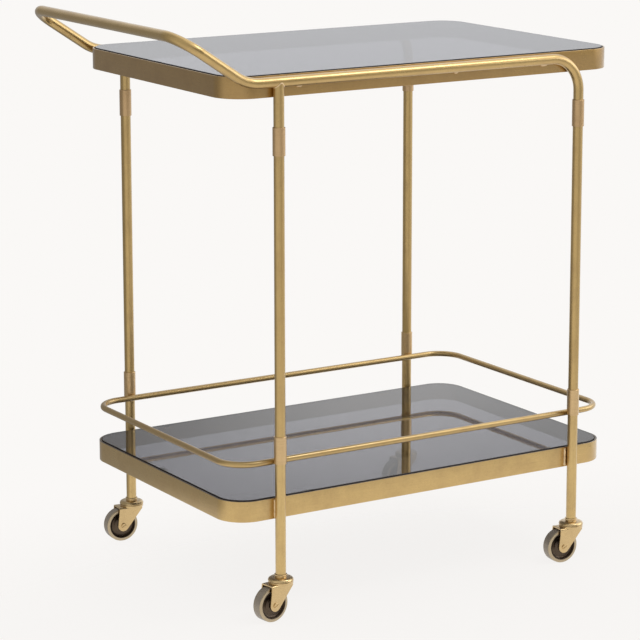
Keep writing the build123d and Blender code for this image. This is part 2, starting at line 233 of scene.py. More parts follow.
def revolved(profile: Array, steps: int) -> Array:
    """Turn a profile about Z: each pair becomes (r cos a, r sin a, h).

    Args:
        profile: (radius, height) pairs, shape (m, 2).
        steps: Number of angles.

    Returns:
        The surface's points, shape (steps, m, 3).
    """
    level = ring(steps)[:, None] * profile[None, :, :1]
    height = np.broadcast_to(profile[None, :, 1:], (*level.shape[:2], 1))
    return np.concatenate([level, height], axis=2)


def eased(points: Sequence[Triple]) -> Array:
    """Round the corners of a closed profile.

    Each corner is a radius and a height with the radius of its fillet. The fillet is a quadratic curve
    between the points a and b that lie one fillet radius before and after the corner c:
    (1-t)^2 a + 2t(1-t) c + t^2 b.

    Args:
        points: (radius, height, fillet) in millimetres, in order round the profile.

    Returns:
        (radius, height) pairs in metres, shape (m, 2).
    """
    table = np.array(points, float) * MM
    t = np.linspace(0, 1, FILLET_STEPS)[:, None]
    rows = []
    for before, here, after in zip(np.roll(table, 1, 0), table, np.roll(table, -1, 0)):
        corner, fillet = here[:2], here[2]
        if fillet == 0:
            rows.append(corner[None])
            continue
        arms = (before[:2] - corner, after[:2] - corner)
        a, b = (corner + arm / np.linalg.norm(arm) * fillet for arm in arms)
        rows.append((1 - t) ** 2 * a + 2 * t * (1 - t) * corner + t**2 * b)
    return np.vstack(rows)


# ---- Objects ----


def linked(name: str, data: bpy.types.ID) -> bpy.types.Object:
    """Make an object and link it to the scene.

    Args:
        name: Its name.
        data: Its mesh, camera or lamp.

    Returns:
        The object.
    """
    made = bpy.data.objects.new(name, data)
    bpy.context.scene.collection.objects.link(made)
    return made


def seated(place: Triple, right: Array, up: Array, back: Array) -> Matrix:
    """Return the matrix that puts an object's axes along three directions at a place."""
    turn = Matrix(np.column_stack([right, up, back]).tolist()).to_4x4()
    return Matrix.Translation(place) @ turn


class Moulding:
    """Gathers the surfaces of one piece and makes one mesh of them."""

    def __init__(self) -> None:
        """Start with nothing in it."""
        self._parts: list[tuple[Array, ...]] = []
        self._count = 0

    def surface(
        self,
        points: Array,
        run: Array | None = None,
        loops: tuple[bool, bool] = (True, True),
        finish: int | Array = 0,
    ) -> Array:
        """Add a grid of quads, whose UV map holds the distance along and around it.

        Args:
            points: The grid, shape (n, m, 3).
            run: Distance along the rows. It is measured on the first column where it is left out.
            loops: Whether the last row joins the first, and the last column the first.
            finish: Number of the finish, or one for each column of quads.

        Returns:
            The number of each point in the piece, shape (n, m), for a lid.
        """
        rows, columns = points.shape[:2]
        numbers = np.arange(rows * columns).reshape(rows, columns) + self._count
        self._count += rows * columns
        index = np.vstack([numbers, numbers[:1]]) if loops[0] else numbers
        index = np.hstack([index, index[:, :1]]) if loops[1] else index
        run = distances(points[:, 0], loops[0]) if run is None else run
        around = distances(points[rows // 2], loops[1])
        uv = np.stack(np.meshgrid(run, around, indexing="ij"), axis=-1)
        here, there = slice(0, -1), slice(1, None)
        corners = ((here, here), (there, here), (there, there), (here, there))
        quads = np.stack([index[c] for c in corners], axis=2)
        quad_uv = np.stack([uv[c] for c in corners], axis=2)
        marks = np.broadcast_to(finish, quads.shape[:2]).reshape(-1)
        sizes = np.full(len(marks), 4)
        part = (points.reshape(-1, 3), quads.reshape(-1), sizes, quad_uv.reshape(-1, 2), marks)
        self._parts.append(part)
        return numbers

    def lid(self, numbers: Array, points: Array) -> None:
        """Close a ring of points with one flat face of the first finish.

        Args:
            numbers: The ring's point numbers, as surface gave them.
            points: The ring's points, shape (m, 3). Their level place is the face's UV map.
        """
        size, mark = np.array([len(numbers)]), np.array([0])
        self._parts.append((np.empty((0, 3)), numbers, size, points[:, :2], mark))

    def mesh(self, name: str) -> bpy.types.Mesh:
        """Make the mesh, close its seams and poles, and point its faces outwards.

        Args:
            name: Its name.

        Returns:
            The mesh, shaded smooth but for its creases and lids.
        """
        mesh = bpy.data.meshes.new(name)
        points, corners, sizes, uv, finish = (np.concatenate(rows) for rows in zip(*self._parts))
        mesh.vertices.add(len(points))
        mesh.vertices.foreach_set("co", points.astype(np.float32).ravel())
        mesh.loops.add(len(corners))
        mesh.loops.foreach_set("vertex_index", corners.astype(np.int32))
        mesh.polygons.add(len(sizes))
        mesh.polygons.foreach_set("loop_start", (np.cumsum(sizes) - sizes).astype(np.int32))
        mesh.polygons.foreach_set("material_index", finish.astype(np.int32))
        layer = mesh.uv_layers.new(name="run")
        layer.uv.foreach_set("vector", uv.astype(np.float32).ravel())
        mesh.update(calc_edges=True)
        work = bmesh.new()
        work.from_mesh(mesh)
        bmesh.ops.remove_doubles(work, verts=work.verts, dist=MERGE)
        bmesh.ops.recalc_face_normals(work, faces=work.faces)
        work.to_mesh(mesh)
        work.free()
        mesh.set_sharp_from_angle(angle=CREASE)
        sides = np.empty(len(mesh.polygons), np.int32)
        mesh.polygons.foreach_get("loop_total", sides)
        mesh.polygons.foreach_set("use_smooth", sides <= 4)
        return mesh

    def piece(
        self,
        name: str,
        finishes: Sequence["Finish"],
        body: str,
        slot: str,
        replaces: Sequence[str] = (),
    ) -> None:
        """slot: The record's material slot that it belongs to. It is not used.
            replaces: The solids that it stands for.
        """
        mesh = self.mesh(name)
        for finish in finishes:
            mesh.materials.append(finish.material)
        made = linked(name, mesh)
        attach(made, body)
        if replaces:
            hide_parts(*replaces)
        LOG.info("%s: %d faces on %s", name, len(mesh.polygons), body)


# ---- Finishes ----


class Bench:
    """Places and joins the shader nodes of one material or world."""

    def __init__(self, owner: Material | bpy.types.World, output: str = "OutputMaterial") -> None:
        """Clear the owner's nodes down to its output.

        Args:
            owner: The material or the world.
            output: The type of its output node.
        """
        owner.use_nodes = True
        self._owner = owner
        self._tree = owner.node_tree
        self._tree.nodes.clear()
        self._output = self._tree.nodes.new("ShaderNode" + output)

    def node(self, kind: str, feeds: dict[Any, Any] | None = None, **settings: Any) -> Outputs:
        """Place a node.

        Args:
            kind: The node's type, without its Shader Node prefix.
            feeds: Value or output for each of its inputs, by name or number.
            settings: The node's own settings.

        Returns:
            Its outputs.
        """
        made = self._tree.nodes.new("ShaderNode" + kind)
        for key, value in settings.items():
            setattr(made, key, value)
        for key, value in (feeds or {}).items():
            self.feed(made.inputs[key], value)
        return made.outputs

    def feed(self, socket: Socket, value: Any) -> None:
        """Join an output to a socket, or set the socket's own value.

        Args:
            socket: The input.
            value: The output, number, vector or colour that it gets.
        """
        if isinstance(value, Socket):
            self._tree.links.new(value, socket)
        else:
            socket.default_value = (*value, 1) if socket.type == "RGBA" else value

    def place(self) -> Socket:
        """Return the piece's own coordinates, in metres."""
        return self.node("TexCoord")["Object"]

    def run(self) -> Socket:
        """Return the distance along and around the piece, in metres, from its UV map."""
        return self.node("UVMap", uv_map="run")["UV"]

    def scaled(self, vector: Socket, scale: Triple) -> Socket:
        """Return coordinates multiplied along each axis."""
        return self.node("Mapping", {"Vector": vector, "Scale": scale})["Vector"]

    def measured(self, kind: str, vector: Socket, other: Triple) -> Socket:
        """Return the distance or the dot product of two vectors, as kind says."""
        return self.node("VectorMath", {0: vector, 1: other}, operation=kind)["Value"]

    def noise(self, vector: Socket, scale: float, detail: float = 3, rough: float = 0.5) -> Socket:
        """Return a noise of about 0 to 1, with scale cells to a metre."""
        feeds = {"Vector": vector, "Scale": scale, "Detail": detail, "Roughness": rough}
        return self.node("TexNoise", feeds)["Fac"]

    def span(self, value: Socket, source: Pair, target: Pair = (0, 1)) -> Socket:
        """Return a value moved smoothly from the source range to the target range."""
        ends = zip(("From Min", "From Max", "To Min", "To Max"), (*source, *target))
        return self.node("MapRange", {"Value": value, **dict(ends)}, interpolation_type="SMOOTHSTEP")[0]

    def folded(self, kind: str, *terms: Any) -> Socket:
        """Return numbers added, multiplied and so on from the left, as kind says."""
        return reduce(lambda a, b: self.node("Math", {0: a, 1: b}, operation=kind)[0], terms)

    def plus(self, *terms: Any) -> Socket:
        """Return a sum."""
        return self.folded("ADD", *terms)

    def times(self, *terms: Any) -> Socket:
        """Return a product."""
        return self.folded("MULTIPLY", *terms)

    def blend(self, share: Socket, a: Any, b: Any) -> Socket:
        """Return a colour between a and b."""
        return self.node("Mix", {0: share, 6: a, 7: b}, data_type="RGBA")[2]

    def bump(self, height: Socket, distance: float) -> Socket:
        """Return a normal raised by a height, with distance in metres."""
        return self.node("Bump", {"Height": height, "Distance": distance})["Normal"]

    def mixed(self, share: Socket, a: Socket, b: Socket) -> Socket:
        """Return a shader between a and b."""
        return self.node("MixShader", {0: share, 1: a, 2: b})[0]

    def finish(self, shader: Socket) -> Material | bpy.types.World:
        """Send the shader to the surface and return the owner."""
        self.feed(self._output.inputs["Surface"], shader)
        return self._owner


class Grain(Enum):
    """Which way a metal was brushed: cells to a metre on each axis, and whether they follow the UV map."""

    UPRIGHT = ((900, 900, 26), False)
    LEVEL = ((22, 22, 1500), False)
    ALONG = ((24, 1600, 1), True)
    ROUND = ((1, 2200, 1), True)
    CAST = ((700, 700, 700), False)

    def __init__(self, scale: Triple, follows_run: bool) -> None:
        """Keep the grain's facts under plain names."""
        self.scale, self.follows_run = scale, follows_run


@dataclass(frozen=True)
class Satin:
    """Brushed metal under a thin lacquer, with clouded tarnish, fine grain and a few dark specks."""

    name: str
    grain: Grain
    roughness: float = 0.36
    colour: Colour = (0.565, 0.377, 0.124)
    tarnish: Colour = (0.38, 0.23, 0.075)
    cloud: float = 26
    depth: float = 0.02 * MM
    mottle: float = 9
    speck_cells: float = 620
    specks: float = 0.5
    speck_dark: float = 0.35
    lacquer: float = 0.8
    lacquer_ior: float = 1.7
    lacquer_roughness: float = 0.2

    def make(self) -> Material:
        """Build the material.

        Its tarnish is the sum of clouds, mottle and brushed lines, and its gloss follows them.

        Returns:
            The material.
        """
        bench = Bench(bpy.data.materials.new(self.name))
        place = bench.place()
        brushed = bench.scaled(bench.run() if self.grain.follows_run else place, self.grain.scale)
        lines = bench.noise(brushed, 1, 4, 0.62)
        clouds = bench.noise(place, self.cloud, 5, 0.6)
        mottle = bench.noise(place, self.cloud * self.mottle, 3, 0.55)
        spots = bench.noise(place, self.speck_cells, 2)
        share = bench.plus(
            bench.span(clouds, (0.38, 0.72), (0, 0.26)),
            bench.span(mottle, (0.35, 0.75), (0, 0.14)),
            bench.span(lines, (0.3, 0.8), (-0.1, 0.16)),
        )
        worn = bench.blend(share, self.colour, self.tarnish)
        dark = tuple(c * self.speck_dark for c in self.tarnish)
        rough = bench.plus(
            bench.span(clouds, (0.3, 0.75), (self.roughness - 0.05, self.roughness + 0.08)),
            bench.span(lines, (0.25, 0.8), (-0.05, 0.07)),
        )
        feeds = {
            "Base Color": bench.blend(bench.span(spots, (0.69, 0.76), (0, self.specks)), worn, dark),
            "Roughness": rough,
            "Metallic": 1,
            "Coat Weight": self.lacquer,
            "Coat IOR": self.lacquer_ior,
            "Coat Roughness": self.lacquer_roughness,
            "Normal": bench.bump(bench.plus(lines, bench.times(mottle, 0.15)), self.depth),
        }
        return bench.finish(bench.node("BsdfPrincipled", feeds)[0])


@dataclass(frozen=True)
class SmokedGlass:
    """Grey float glass, clear through, with faint wiping marks in its gloss."""

    name: str
    tint: Colour
    shadow: Colour
    ior: float = 1.5
    wipe_cells: Triple = (3, 16, 1)
    wipe_roughness: float = 0.02

    def make(self) -> Material:
        """Build the material. Lamps shine through it in its shadow's tint.

        Returns:
            The material.
        """
        bench = Bench(bpy.data.materials.new(self.name))
        wipes = bench.noise(bench.scaled(bench.place(), self.wipe_cells), 1, 5, 0.65)
        feeds = {
            "Base Color": self.tint,
            "Roughness": bench.span(wipes, (0.45, 0.8), (0, self.wipe_roughness)),
            "IOR": self.ior,
            "Transmission Weight": 1,
        }
        glass = bench.node("BsdfPrincipled", feeds)[0]
        clear = bench.node("BsdfTransparent", {"Color": self.shadow})[0]
        return bench.finish(bench.mixed(bench.node("LightPath")["Is Shadow Ray"], glass, clear))


@dataclass(frozen=True)
class Ground:
    """A ground, moulded or rubbery surface with a fine uneven grain."""

    name: str
    colour: Colour
    worn: Colour
    roughness: float
    metallic: float
    grain: float
    depth: float = 0.03 * MM
    sheen: float = 0
    sheen_roughness: float = 0.35

    def make(self) -> Material:
        """Build the material.

        Returns:
            The material.
        """
        bench = Bench(bpy.data.materials.new(self.name))
        place = bench.place()
        pores = bench.noise(place, self.grain, 3, 0.6)
        scuffs = bench.noise(place, self.grain / 14, 4, 0.65)
        dull = bench.span(scuffs, (0.42, 0.7), (0, 0.7))
        share = bench.plus(dull, bench.span(pores, (0.4, 0.7), (-0.1, 0.2)))
        feeds = {
            "Base Color": bench.blend(share, self.colour, self.worn),
            "Roughness": bench.span(scuffs, (0.3, 0.7), (self.roughness - 0.08, self.roughness + 0.1)),
            "Metallic": self.metallic,
            "Coat Weight": self.sheen,
            "Coat Roughness": self.sheen_roughness,
            "Normal": bench.bump(pores, self.depth),
        }
        return bench.finish(bench.node("BsdfPrincipled", feeds)[0])


class Finish(Enum):
    """Every finish of the cart."""

    TUBE = Satin("brass_tube_brushed", Grain.ALONG, 0.31, depth=0.008 * MM)
    LEG = Satin("brass_leg_brushed", Grain.UPRIGHT)
    # Painted light: the lower legs are a lighter copy of the leg brass, standing in for the bright floor
    # that they mirror.
    LIT_LOWER_LEG = Satin("brass_lower_leg_painted_light", Grain.UPRIGHT, colour=(0.64, 0.44, 0.158))
    SLEEVE = Satin("brass_sleeve_turned", Grain.LEVEL, 0.4, (0.6, 0.385, 0.17))
    # Painted light: the lower sleeves are a lighter copy of the sleeve brass.
    LIT_LOWER_SLEEVE = Satin("brass_lower_sleeve_painted_light", Grain.LEVEL, 0.4, (0.66, 0.445, 0.2))
    BAND = Satin("brass_band_brushed", Grain.LEVEL, 0.33, (0.61, 0.41, 0.142), (0.41, 0.25, 0.082))
    # Painted shade: the upper hoop is a darker copy of the band brass, for the shade under the side tubes.
    SHADED_UPPER_BAND = Satin(
        "brass_upper_band_painted_shade", Grain.LEVEL, 0.33, (0.445, 0.268, 0.074), (0.3, 0.165, 0.045)
    )
    # Painted shade: the hoops' inner faces are dark brass, for the shade inside each hoop.
    SHADED_INNER_FACE = Satin("brass_inner_face_painted_shade", Grain.LEVEL, 0.5, (0.26, 0.19, 0.11), (0.17, 0.115, 0.06))
    # Painted shadow: the lower hoop's top edge is near black, for the shadow gap beside the pane.
    SHADOWED_TOP_EDGE = Satin("brass_top_edge_painted_shadow", Grain.ALONG, 0.5, (0.12, 0.085, 0.055), (0.08, 0.055, 0.035))
    RAIL = Satin("brass_rail_polished", Grain.ALONG, 0.38, (0.52, 0.347, 0.118), depth=0.004 * MM)
    # Painted light: the welds are a paler brass so that the beads read as lit in their shaded crevices.
    WELD = Satin("brass_weld_painted_light", Grain.CAST, 0.34, (0.82, 0.62, 0.36), (0.5, 0.31, 0.13), depth=0.12 * MM)
    CASTER = Satin(
        "caster_brass_plated", Grain.CAST, 0.3, (0.66, 0.465, 0.205), (0.48, 0.32, 0.125), 60, 0.0015 * MM
    )
    WHEEL = Satin("wheel_brass_plated", Grain.ROUND, 0.3, (0.47, 0.37, 0.225), (0.31, 0.235, 0.14), 70)
    WEB = Ground("wheel_web_dark", (0.075, 0.052, 0.036), (0.135, 0.095, 0.055), 0.3, 0.9, 500, sheen=0.2)
    TREAD = Ground("tread_taupe", (0.25, 0.21, 0.165), (0.32, 0.265, 0.185), 0.42, 0.25, 420, sheen=0.25)
    STEEL = Ground("ball_steel", (0.55, 0.55, 0.56), (0.42, 0.42, 0.43), 0.2, 1, 1500, 0.003 * MM)
    PAD = Ground("clear_pad_soft", (0.62, 0.62, 0.6), (0.5, 0.5, 0.48), 0.5, 0, 1800, sheen=0.2)
    SOCKET = Ground("socket_black", (0.03, 0.03, 0.03), (0.06, 0.06, 0.06), 0.5, 0, 1400)
    GLASS = SmokedGlass("glass_smoked", (0.147, 0.147, 0.17), (0.42, 0.42, 0.45))
    GLASS_EDGE = Ground(
        "glass_edge_ground", (0.016, 0.011, 0.008), (0.035, 0.026, 0.02), 0.45, 0, 1200, 0.02 * MM
    )

    @cached_property
    def material(self) -> Material:
        """Return the finish's material, made at its first use."""
        return self.value.make()


def dress(node: str, finish: Finish) -> None:
    """Give a carried-over solid its finish.

    Args:
        node: The solid's name.
        finish: Its finish.
    """
    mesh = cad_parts[node].data
    mesh.materials.clear()
    mesh.materials.append(finish.material)
    LOG.info("%s: dressed with %s", node, finish.value.name)


# ---- Frame ----


@dataclass
class FrameTubes:
    """The bent handle tube with its front and rear legs, the stubs, the straight legs and the sleeves."""

    bore: float = 6.8 * MM
    foot_z: float = 724.3 * MM
    knee_x: float = -278 * MM
    bar_x: float = -388 * MM
    slope: float = 33.5
    leg_bend: float = 52 * MM
    knee_bend: float = 70 * MM
    grip_bend: float = 44 * MM
    bend_steps: int = 36
    tube_sides: int = 48

    def handle_route(self) -> Route:
        """Work out the centre line of the tube that makes the right legs, both sides and the handle.

        Returns:
            The route from the front leg's foot to the rear leg's foot.
        """
        right, side, level = LAYOUT.shelf_x + LAYOUT.leg_x, LAYOUT.leg_y, LAYOUT.side_tube_z
        bar_z = level + (self.knee_x - self.bar_x) * tan(radians(self.slope))
        half = [(right, self.foot_z), (right, level), (self.knee_x, level), (self.bar_x, bar_z)]
        corners = [(x, -side, z) for x, z in half] + [(x, side, z) for x, z in half[::-1]]
        bends = [self.leg_bend, self.knee_bend, self.grip_bend]
        return bent_route(np.array(corners), bends + bends[::-1], np.array([0, -1, 0]), self.bend_steps)

    def build(self) -> None:
        """Build the bent tube, and dress the straight tubes, the sleeves and the sockets.

        The tube's outer wall runs from its first point to its last and the bore back again, so that
        its two ends close it. Both are the route's points plus radius x (cos a across + sin a up).
        """
        route = self.handle_route()
        radii = (LAYOUT.tube_radius, self.bore)
        outer, inner = (carried(route, r * ring(self.tube_sides)) for r in radii)
        tube = Moulding()
        tube.surface(np.concatenate([outer, inner[::-1]]))
        tube.piece("handle_tube", [Finish.TUBE], "frame", "brass_tube", ["handle_frame"])
        for corner in Corner:
            dress(f"upper_leg_{corner.label}", Finish.LEG)
            # Painted light: the lower legs get a lighter copy of the leg brass.
            dress(f"lower_leg_{corner.label}", Finish.LIT_LOWER_LEG)
            dress(f"upper_sleeve_{corner.label}", Finish.SLEEVE)
            # Painted light: the lower sleeves get a lighter copy of the sleeve brass.
            dress(f"lower_sleeve_{corner.label}", Finish.LIT_LOWER_SLEEVE)
            dress(f"stem_socket_{corner.label}", Finish.SOCKET)
            if corner.side_x < 0:
                dress(f"stub_{corner.label}", Finish.LEG)


# ---- Shelves ----


@dataclass
class ShelfTier:
    """One hoop of flat bar with its smoked glass pane, support tabs and pads."""

    shelf: Shelf
    height: float = 32 * MM
    thickness: float = 2.5 * MM
    corner: float = 46 * MM
    corner_steps: int = 30
    edge: float = 0.5 * MM
    glass_gap: float = 1.5 * MM
    glass_depth: float = 5 * MM
    glass_proud: float = 1.4 * MM
    glass_edge: float = 0.7 * MM

    def band(self) -> None:
        """Build the hoop: the bar's rounded section carried round a rounded rectangle.

        Its inner face and its top edge have finishes of their own: painted shade on the inner face, and a
        painted shadow on the lower hoop's top edge. The upper hoop's outer face and top edge are a darker
        copy of the band brass, painted shade.
        """
        label, t, h = self.shelf.label, self.thickness, self.height
        base = LAYOUT.middle(self.shelf.base_z)
        route = level_loop(LAYOUT.hoop_half, self.corner, base, self.corner_steps)
        bar = level_loop((t / 2, h / 2), self.edge, np.array([-t / 2, h / 2, 0]), FILLET_STEPS)
        section = bar.points[:, :2]
        middle = (section + np.roll(section, -1, axis=0)) / 2
        inside, above = middle[:, 0] < self.edge - t, middle[:, 1] > h - self.edge / 2
        hoop = Moulding()
        # Finish numbers along the section: 1 on the inner face for its painted shade, 2 on the top edge
        # for its painted shadow.
        side = np.where(inside, 1, np.where(above, 2, 0))
        hoop.surface(carried(route, section), route.run, finish=side[None])
        finishes = [Finish.BAND, Finish.SHADED_INNER_FACE, Finish.SHADOWED_TOP_EDGE]
        # The upper hoop's outer face and top edge take the darker painted-shade copy of the band brass.
        if self.shelf is Shelf.UPPER:
            finishes = [Finish.SHADED_UPPER_BAND, Finish.SHADED_INNER_FACE, Finish.SHADED_UPPER_BAND]
        hoop.piece(f"{label}_hoop", finishes, "frame", "brass_band", [f"{label}_band"])

    def pane(self) -> None:
        """Build the pane: its rounded edge carried round its outline, with a flat face above and below.

        The edge is a flattened half round: it leaves each flat face over a quarter ellipse.
        """
        label, e, inset = self.shelf.label, self.glass_edge, self.thickness + self.glass_gap
        half = (LAYOUT.hoop_half[0] - inset, LAYOUT.hoop_half[1] - inset)
        bottom = LAYOUT.middle(self.shelf.base_z + self.height + self.glass_proud - self.glass_depth)
        route = level_loop(half, self.corner - inset, bottom, self.corner_steps)
        t = np.linspace(0, pi / 2, 6)
        rise = np.stack([-e + e * np.sin(t), e - e * np.cos(t)], axis=1)
        top = np.stack([rise[::-1, 0], self.glass_depth - rise[::-1, 1]], axis=1)
        rim = carried(route, np.vstack([rise, top]))
        pane = Moulding()
        numbers = pane.surface(rim, route.run, (True, False), finish=1)
        pane.lid(numbers[:, 0], rim[:, 0])
        pane.lid(numbers[:, -1], rim[:, -1])
        finishes = [Finish.GLASS, Finish.GLASS_EDGE]
        pane.piece(f"{label}_pane", finishes, "frame", "smoked_glass", [f"{label}_glass"])

    def build(self) -> None:
        """Build the hoop and the pane, and dress the tabs and pads."""
        self.band()
        self.pane()
        dress(f"{self.shelf.label}_tabs", Finish.BAND)
        dress(f"{self.shelf.label}_pads", Finish.PAD)


@dataclass
class GuardRail:
    """The closed loop of round rod above the lower pane."""

    radius: float = 4.75 * MM
    half: Pair = (344 * MM, 223.75 * MM)
    corner: float = 43.5 * MM
    corner_steps: int = 26
    rod_sides: int = 32

    def build(self) -> None:
        """Build the rail: a circle carried round a rounded rectangle."""
        route = level_loop(self.half, self.corner, LAYOUT.middle(LAYOUT.rail_z), self.corner_steps)
        rail = Moulding()
        rail.surface(carried(route, self.radius * ring(self.rod_sides)), route.run)
        rail.piece("rail_loop", [Finish.RAIL], "frame", "brass_rod", ["guard_rail"])


@dataclass
class Welds:
    """The beads that hold the frame together."""

    seed: int = 11
    ripple: float = 1.5 * MM
    wave: float = 5 * MM
    guide: Triple = (0.31, 0.52, 0.79)
    thin: float = 1 * MM
    leg_rise: Pair = (1.5 * MM, 30.5 * MM)
    leg_inset: float = 7.3 * MM
    leg_bead: Pair = (5.2 * MM, 1.9 * MM)
    heavy_bead: Pair = (9 * MM, 2.6 * MM)
    side_runs: tuple[Pair, ...] = ((-192 * MM, 10 * MM), (86 * MM, 8 * MM), (247 * MM, 13 * MM))
    side_y: float = 231.9 * MM
    side_drop: float = 8.2 * MM
    side_bead: float = 2.7 * MM
    saddle_low: float = 1.2 * MM
    rail_touch: float = 9.55 * MM
    rail_ring: Pair = (3.4 * MM, 2.6 * MM)
    rail_bead: float = 0.9 * MM
    tab_rise: float = 25.4 * MM
    tab_x: float = 210 * MM
    tab_half: float = 8 * MM
    tab_seam: Pair = (347.2 * MM, 227.2 * MM)
    moulding: Moulding = field(default_factory=Moulding)

    def bead(self, points: Array, size: float, closed: bool = False) -> None:
        """Lay a bead along a row of points.

        Its radius is size x (1 + ripples + a slow wander), and an open bead's ends close to a point as
        a half round does: the square root of the share of the way in.

        Args:
            points: The bead's line, shape (n, 3).
            size: Its radius.
            closed: Whether it is a ring.
        """
        rng = np.random.default_rng(self.seed)
        self.seed += 1
        run = distances(points, closed)[: len(points)]
        tangent = np.gradient(points, axis=0)
        if closed:
            tangent = np.roll(points, -1, 0) - np.roll(points, 1, 0)
        tangent /= np.linalg.norm(tangent, axis=1)[:, None]
        across = np.cross(tangent, self.guide)
        across /= np.linalg.norm(across, axis=1)[:, None]
        swell = 0.16 * np.abs(np.sin(pi * run / self.ripple + rng.uniform(0, pi)))
        wander = 0.1 * np.sin(run / self.wave * rng.uniform(2, 4) + rng.uniform(0, 6))
        radius = size * (0.9 + swell + (0 if closed else wander))
        if not closed:
            share = np.minimum(run, run[-1] - run) / (1.2 * size)
            radius = radius * np.sqrt(np.clip(1 - (1 - np.clip(share, 0, 1)) ** 2, 0, 1))
        route = Route(points, across, np.cross(across, tangent), distances(points, closed))
        section = ring(14)[None] * radius[:, None, None]
        self.moulding.surface(carried(route, section), route.run, (closed, True))

    def stroke(self, start: Array, reach: Triple, size: float, steps: int = 36) -> None:
        """Lay a straight bead from its start over its reach along X, Y and Z."""
        self.bead(start + np.array(reach) * np.linspace(0, 1, steps)[:, None], size)

    def legs_to_lower_hoop(self) -> None:
        """Lay an upright bead each side of every lower leg, in the crevice between leg and hoop."""
        low, high = self.leg_rise
        for corner, side in product(Corner, (-1, 1)):
            heavy = corner is Corner.RIGHT_FRONT and side < 0
            out, size = self.heavy_bead if heavy else self.leg_bead
            foot = LAYOUT.leg(corner, Shelf.LOWER.base_z + low)
            foot += [side * out, -corner.side_y * self.leg_inset, 0]
            self.stroke(foot, (0, 0, high - low), size, 60)

    def side_tubes_to_upper_hoop(self) -> None:
        """Lay short beads under the side tubes, where they touch the upper hoop."""
        for side, (x, length) in product((-1, 1), self.side_runs):
            start = np.array([x, side * self.side_y, LAYOUT.side_tube_z - self.side_drop])
            self.stroke(start, (length, 0, 0), self.side_bead)

    def stubs(self) -> None:
        """Lay a saddle bead round the notched top of each stub.

        Its height below the side tube's centre is the square root of (radius^2 - y^2) on the stub's wall.
        """
        level = LAYOUT.tube_radius * ring(96)
        drop = np.sqrt(np.maximum(LAYOUT.tube_radius**2 - level[:, 1] ** 2, self.saddle_low**2))
        for corner in (Corner.LEFT_FRONT, Corner.LEFT_REAR):
            saddle = np.column_stack([level, -drop])
            self.bead(saddle + LAYOUT.leg(corner, LAYOUT.side_tube_z), self.thin, closed=True)

    def rail_to_sleeves(self) -> None:
        """Lay a small ring bead where the rail touches each lower sleeve."""
        around = ring(60) * self.rail_ring
        for corner in Corner:
            touch = LAYOUT.leg(corner, LAYOUT.rail_z) - [0, corner.side_y * self.rail_touch, 0]
            upright = np.column_stack([around[:, 0], 0 * around[:, 0], around[:, 1]])
            self.bead(upright + touch, self.rail_bead, closed=True)

    def tabs(self) -> None:
        """Lay a bead under each support tab, along its joint with the hoop."""
        half, (end, side_y) = self.tab_half, self.tab_seam
        for shelf in Shelf:
            middle = LAYOUT.middle(shelf.base_z + self.tab_rise)
            for x, side in product((-self.tab_x, self.tab_x), (-1, 1)):
                self.stroke(middle + [x - half, side * side_y, 0], (2 * half, 0, 0), self.thin)
            for side in (-1, 1):
                self.stroke(middle + [side * end, -half, 0], (0, 2 * half, 0), self.thin)

    def build(self) -> None:
        """Lay every bead and make one piece of them."""
        self.legs_to_lower_hoop()
        self.side_tubes_to_upper_hoop()
        self.stubs()
        self.rail_to_sleeves()
        self.tabs()
        # The beads' paler brass is painted light.
        self.moulding.piece("weld_beads", [Finish.WELD], "frame", "brass_tube")


# ---- Casters ----


